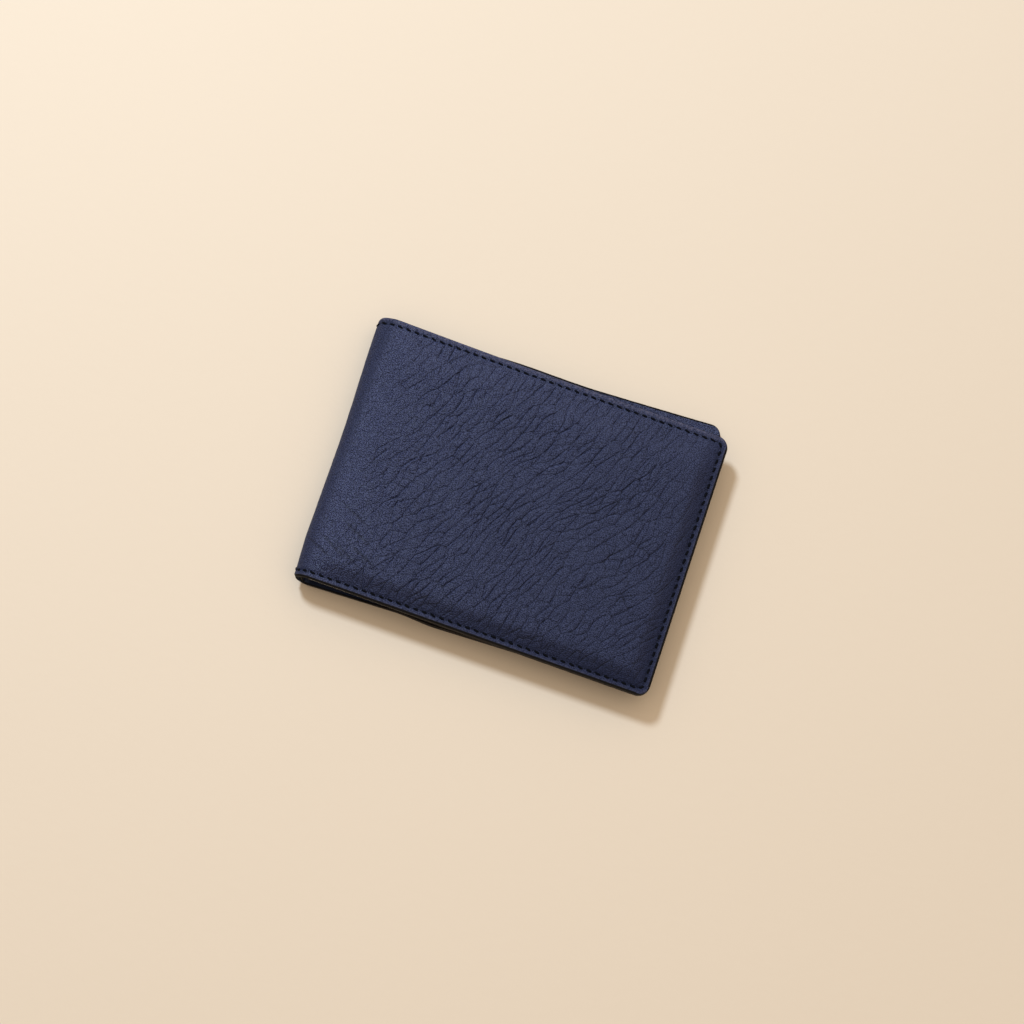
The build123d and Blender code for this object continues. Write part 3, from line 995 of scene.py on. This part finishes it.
def make_lining(leaf):
    """Cloth wall of the banknote compartment, with its half of the spine."""

    def face(along, up):
        loose = smooth((edge_distance(leaf, along, up) - 3) / 6)
        ripple = 0.05 * (value_noise(along, up, 14, leaf.seed + 30) - 0.5) * loose
        return LINING_DEPTH + LINING_T - 0.03 + ripple, flat_marks(along)

    piece = make_panel(
        f"{leaf.name}_lining_cloth", leaf, (SPINE_MIDDLE, leaf.length - EDGE_INSET, 0.1, LEAF_HEIGHT - 0.1),
        face, level(LINING_DEPTH), [LINING_CLOTH, EDGE_PAINT], open_near=True, edge_r=0.08,
    )
    bend_with_leaf(piece, leaf)
    nodes = [f"{leaf.name}_lining"] + (["spine_lining"] if leaf.side < 0 else [])
    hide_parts(*nodes)


def make_facing(leaf):
    """Leather facing inside the mouth of the banknote compartment."""
    depth = LINING_DEPTH + LINING_T

    def face(along, up):
        line, strength = creases(leaf.seed + 90, along, up)
        marks = flat_marks(along)
        marks["strength"] = strength * 0.5
        marks["wear_and_highlight"] = smooth(1 - (edge_distance(leaf, along, up) - 0.1) / 0.6)
        return depth + FACING_T - line * 0.4, marks

    piece = make_panel(
        f"{leaf.name}_mouth_facing", leaf, (SPINE_MIDDLE, leaf.length - 0.1, FACING_LOW, LEAF_HEIGHT - 0.1),
        face, level(depth), LEATHER_AND_PAINT, pitch=0.45, open_near=True, paint_width=0.34,
        seed=leaf.seed + 90,
    )
    bend_with_leaf(piece, leaf)


def make_divider(leaf):
    """Inner wall of the banknote compartment, with its half of the fold's gusset."""

    def face(along, up):
        hem = 0.1 * smooth((DIVIDER_TOP - up - 4.4) / 0.8)
        fold_line = 0.1 * bell(DIVIDER_TOP - up - CREASE_IN, FOLD_LINE)
        marks = flat_marks(along)
        marks["wear_and_highlight"] = smooth(1 - (DIVIDER_TOP - up) / 0.7)
        # Painted shade: the fold line is marked for darkening.
        marks["painted_pit_shade"] = 0.5 * fold_line / 0.1
        # Painted shade: darker along the divider's lower edge, which shows in the shaded gap at the fold's
        # lower end.
        marks["shade"] = 2.0 * (1 - smooth((up - 1) / 6))
        return DIVIDER_DEPTH + DIVIDER_T + 0.05 - hem - fold_line, marks

    def back(along, up):
        to_seam = np.minimum(leaf.length - along, up)
        rest = DIVIDER_DEPTH - 0.4 * (sewn_down(to_seam) * smooth(along / 3))
        return np.where(up > FACING_LOW - 1, np.maximum(rest, LINING_DEPTH + LINING_T + FACING_T), rest)

    piece = make_panel(
        f"{leaf.name}_divider_leather", leaf, (SPINE_MIDDLE, leaf.length - EDGE_INSET, 0.15, DIVIDER_TOP),
        face, back, INNER_AND_PAINT, open_near=True, extra_up=[DIVIDER_TOP - CREASE_IN],
    )
    bend_with_leaf(piece, leaf)
    nodes = [f"{leaf.name}_divider"] + (["spine_gusset"] if leaf.side < 0 else [])
    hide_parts(*nodes)


def make_card_panel(leaf):
    """Panel that carries the card pockets, open towards the fold."""
    near = CARD_PANEL_NEAR

    def face(along, up):
        lines = bell(along - near - CREASE_IN, FOLD_LINE)
        lines = np.maximum(lines, bell(DIVIDER_TOP - up - CREASE_IN, FOLD_LINE))
        marks = flat_marks(along)
        marks["wear_and_highlight"] = smooth(1 - np.minimum(along - near, DIVIDER_TOP - up) / 0.7)
        # Painted shade: the fold lines are marked for darkening.
        marks["painted_pit_shade"] = 0.5 * lines
        press = groove(edge_distance(leaf, along, up)) * 0.5
        return POCKETS_DEPTH - 0.09 * lines - press, marks

    def back(along, up):
        to_seam = np.minimum(np.minimum(leaf.length - along, up), DIVIDER_TOP - up)
        return CARD_PANEL_DEPTH - 0.1 * sewn_down(to_seam)

    piece = make_panel(
        f"{leaf.name}_card_panel_leather", leaf, (near, leaf.length - EDGE_INSET, 0.2, DIVIDER_TOP - 0.25),
        face, back, INNER_AND_PAINT,
        extra_up=[DIVIDER_TOP - CREASE_IN], extra_along=[near + CREASE_IN], recess=True,
    )
    ride_leaf(piece, leaf)
    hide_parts(f"{leaf.name}_card_panel")


def pocket_face(row):
    """Depth of a pocket's inner face; row 0 is the lowest pocket, which lies innermost."""
    layers = len(POCKET_NAMES) - row
    return POCKETS_DEPTH + layers * (CARD_GAP + POCKET_T)


def make_pocket(leaf, name, row):
    """Card pocket with a creased top edge, plumper between its seams."""
    near, top = CARD_PANEL_NEAR, LOWER_POCKET_TOP + row * POCKET_STEP

    def face(along, up):
        line = bell(top - up - CREASE_IN, FOLD_LINE)
        marks = flat_marks(along)
        marks["wear_and_highlight"] = smooth(1 - (top - up) / 0.8)
        # Painted shade: the top edge's fold line is marked for darkening.
        marks["painted_pit_shade"] = 0.5 * line
        press = groove(edge_distance(leaf, along, up)) * 0.5
        beside = np.minimum(along - near, leaf.length - along)
        press = np.maximum(press, groove(beside) * 0.5)
        plump = 0.1 * smooth((beside - 3) / 12) * smooth((up - 3) / 12) * smooth((top - up) / 3)
        return pocket_face(row) - 0.1 * line - press + plump - 0.05, marks

    piece = make_panel(
        f"{leaf.name}_pocket_{name}_leather", leaf, (near, leaf.length - EDGE_INSET, 0.25, top),
        face, level(pocket_face(row) - POCKET_T - 0.05), INNER_AND_PAINT,
        extra_up=[top - CREASE_IN], recess=True,
    )
    ride_leaf(piece, leaf)
    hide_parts(f"{leaf.name}_pocket_{name}")


def inside_depth(along, up):
    """Depth of the innermost face of a leaf's layers."""
    depth = np.where(up > DIVIDER_TOP, LINING_DEPTH + LINING_T + FACING_T, DIVIDER_DEPTH + DIVIDER_T)
    on_panel = (along > CARD_PANEL_NEAR) & (up < DIVIDER_TOP)
    depth = np.where(on_panel, POCKETS_DEPTH, depth)
    for row in (2, 1, 0):
        top = LOWER_POCKET_TOP + row * POCKET_STEP
        depth = np.where(on_panel & (up < top), pocket_face(row), depth)
    return depth


def sunk_inside(along, up):
    """Depth that the stitches inside lie at, a little into the innermost face."""
    return inside_depth(along, up) - 0.12


def make_edge_band(leaf):
    """Painted edge of a leaf's sewn layers, slightly domed, with the layers' lines showing faintly."""
    line, length = seam_line(leaf, 0.4, EDGE_INSET / 2)
    count = int(length / BAND_STEP)
    at = np.linspace(0, len(line) - 1, count).astype(int)
    spots, outward = line[at], line_normals(line)[at]
    inner = inside_depth(spots[:, 0], np.clip(spots[:, 1], 0, LEAF_HEIGHT))
    kernel = np.ones(5) / 5
    inner = np.convolve(np.pad(inner, 2, mode="edge"), kernel, mode="valid") - 0.03
    thin = np.minimum(inner, DIVIDER_DEPTH + DIVIDER_T)
    inner = thin + (inner - thin) * layers_meet(spots[:, 0])
    start = cover_form(leaf, spots[:, 0], spots[:, 1]) + COVER_T - 0.02
    shares = np.linspace(0, 1, 17)
    half = EDGE_INSET / 2
    profile = [(half * (0.75 + 0.35 * (1 - (2 * share - 1) ** 4)), share) for share in shares]
    profile += [(-half, 1.0), (-half, 0.0)]
    boundaries = [LINING_DEPTH, DIVIDER_DEPTH - 0.4, DIVIDER_DEPTH + DIVIDER_T, POCKETS_DEPTH, 4.02, 4.54]
    # Painted highlight: a pale line along the front leaf's lower edge near the fold, on one ring of the
    # band's profile.
    painted_highlight_line = (1 - smooth((spots[:, 0] - 10) / 50)) * (spots[:, 1] < 5) * (leaf.side > 0)
    points, uvs, rubbed_and_highlight = [], [], []
    for out, share in profile:
        depth = start + (inner - start) * share
        proud = np.full(count, out)
        if out > 0:
            for boundary in boundaries:
                proud = proud - 0.05 * bell(depth - boundary, 0.07)
            rough = value_noise(np.arange(count) * BAND_STEP, depth, 1.6, leaf.seed + 40)
            proud = proud + 0.05 * (rough - 0.5)
        where = spots + outward * proud[:, None]
        points.append(place(leaf, where[:, 0], where[:, 1], depth))
        uvs.append(np.stack([np.arange(count) * BAND_STEP, depth + (5 if out < 0 else 0)], axis=-1))
        rubbed_and_highlight.append(painted_highlight_line * (share == shares[6]))
    size = len(profile)
    faces = []
    for ring in range(size):
        for k in range(count - 1):
            a, b = ring * count + k, ((ring + 1) % size) * count + k
            faces.append([a, a + 1, b + 1, b])
    faces.append([ring * count for ring in range(size)][::-1])
    faces.append([ring * count + count - 1 for ring in range(size)])
    piece = make_mesh(
        f"{leaf.name}_edge_paint", np.concatenate(points), faces, np.concatenate(uvs), [EDGE_PAINT],
        [0] * len(faces), {"rubbed_and_highlight": np.concatenate(rubbed_and_highlight)},
    )
    ride_leaf(piece, leaf)


def make_outer_stitching(leaf):
    """The seam's stitches outside, round the leaf and on round the fold."""
    line, length = seam_line(leaf, SPINE_MIDDLE, SEAM_MARGIN)

    def surface(along, up):
        return cover_form(leaf, along, up) + GROOVE_DEPTH

    name = f"{leaf.name}_seam_outer_stitching"
    piece = make_threads(name, leaf, line, length, surface, OUTER_STITCH_HEIGHT, -1)
    bend_with_leaf(piece, leaf)
    nodes = [f"{leaf.name}_outer_stitching"] + (["spine_stitching"] if leaf.side < 0 else [])
    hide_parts(*nodes)


def make_inner_stitching(leaf):
    """The same seam where it shows inside."""
    line, length = seam_line(leaf, SPINE_MIDDLE, SEAM_MARGIN)

    def shows(along, up):
        return along > CARD_PANEL_NEAR + 1.9 and up < DIVIDER_TOP

    name = f"{leaf.name}_seam_inner_stitching"
    piece = make_threads(name, leaf, line, length, sunk_inside, INNER_STITCH_HEIGHT, 1, shows)
    bend_with_leaf(piece, leaf)
    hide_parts(f"{leaf.name}_inner_stitching")


def make_pocket_stitching(leaf):
    """Seam along the fold side of the card pockets."""
    low, high = CARD_SEAM_WIDTH, DIVIDER_TOP - CARD_SEAM_WIDTH
    steps = int((high - low) / SEAM_SAMPLE)
    line = np.stack([np.full(steps, CARD_PANEL_NEAR + 2.0), np.linspace(low, high, steps)], axis=-1)

    name = f"{leaf.name}_pocket_seam_stitching"
    piece = make_threads(name, leaf, line, high - low, sunk_inside, INNER_STITCH_HEIGHT, 1)
    ride_leaf(piece, leaf)
    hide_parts(f"{leaf.name}_pocket_stitching")


for leaf in LEAVES:
    make_cover(leaf)
    make_padding(leaf)
    make_lining(leaf)
    make_facing(leaf)
    make_divider(leaf)
    make_card_panel(leaf)
    for row, pocket_name in enumerate(POCKET_NAMES):
        make_pocket(leaf, pocket_name, row)
    make_edge_band(leaf)
    make_outer_stitching(leaf)
    make_inner_stitching(leaf)
    make_pocket_stitching(leaf)


# ---- Floor, light and camera ----

FLOOR_SIZE = 4.0
KEY_DISTANCE = 1.1
KEY_DIRECTION = Vector((-0.66, 0.75, 1.23)).normalized()
KEY_SIZE = 0.19
KEY_POWER = 8.9
WORLD_LIGHT = (0.70, 0.59, 0.46)
WORLD_HORIZON = 0.22
WORLD_OVERHEAD = 1.36
WORLD_SLANT = 0.7
WORLD_BRIGHT_SIDE = (0.3, 0.95, 0.0)
CAMERA_TARGET = Vector((0.16, -1.32, 0)) * MM
CAMERA_AZIMUTH = radians(18.54)
CAMERA_ELEVATION = radians(78.6)
CAMERA_DISTANCE = 0.7543
CAMERA_LENS = 85.0


def make_floor():
    mesh = bpy.data.meshes.new("floor")
    bm = bmesh.new()
    bmesh.ops.create_grid(bm, x_segments=8, y_segments=8, size=FLOOR_SIZE / 2)
    bm.to_mesh(mesh)
    bm.free()
    mesh.materials.append(floor_material())
    add_object("floor", mesh)


def make_light():
    light = bpy.data.lights.new("key", "AREA")
    light.shape = "DISK"
    light.size = KEY_SIZE
    light.energy = KEY_POWER
    light.color = (0.70, 0.85, 1.0)
    key = add_object("key", light)
    key.location = KEY_DIRECTION * KEY_DISTANCE
    key.rotation_euler = KEY_DIRECTION.to_track_quat("Z", "Y").to_euler()
    world = bpy.data.worlds.new("studio")
    world.use_nodes = True
    tree = world.node_tree
    background = tree.nodes["Background"]
    background.inputs["Color"].default_value = (*WORLD_LIGHT, 1)
    direction = add_node(tree, "ShaderNodeTexCoord").outputs["Generated"]
    height = add_node(tree, "ShaderNodeSeparateXYZ", {0: direction}).outputs[2]
    overhead = map_range(tree, height, 0.0, 1.0, WORLD_HORIZON, WORLD_OVERHEAD)
    towards = {0: direction, 1: WORLD_BRIGHT_SIDE}
    side = add_node(tree, "ShaderNodeVectorMath", towards, operation="DOT_PRODUCT").outputs["Value"]
    strength = multiply(tree, overhead, multiply_add(tree, side, WORLD_SLANT, 1.0))
    tree.links.new(strength, background.inputs["Strength"])
    bpy.context.scene.world = world


def make_camera():
    a, e = CAMERA_AZIMUTH, CAMERA_ELEVATION
    back = Vector((sin(a) * cos(e), -cos(a) * cos(e), sin(e)))
    data = bpy.data.cameras.new("camera")
    data.lens = CAMERA_LENS
    data.sensor_width = 36.0
    camera = add_object("camera", data)
    camera.location = CAMERA_TARGET + back * CAMERA_DISTANCE
    camera.rotation_mode = "QUATERNION"
    camera.rotation_quaternion = (-back).to_track_quat("-Z", "Y")
    bpy.context.scene.camera = camera


make_floor()
make_light()
make_camera()
bpy.context.scene.view_settings.view_transform = "Standard"
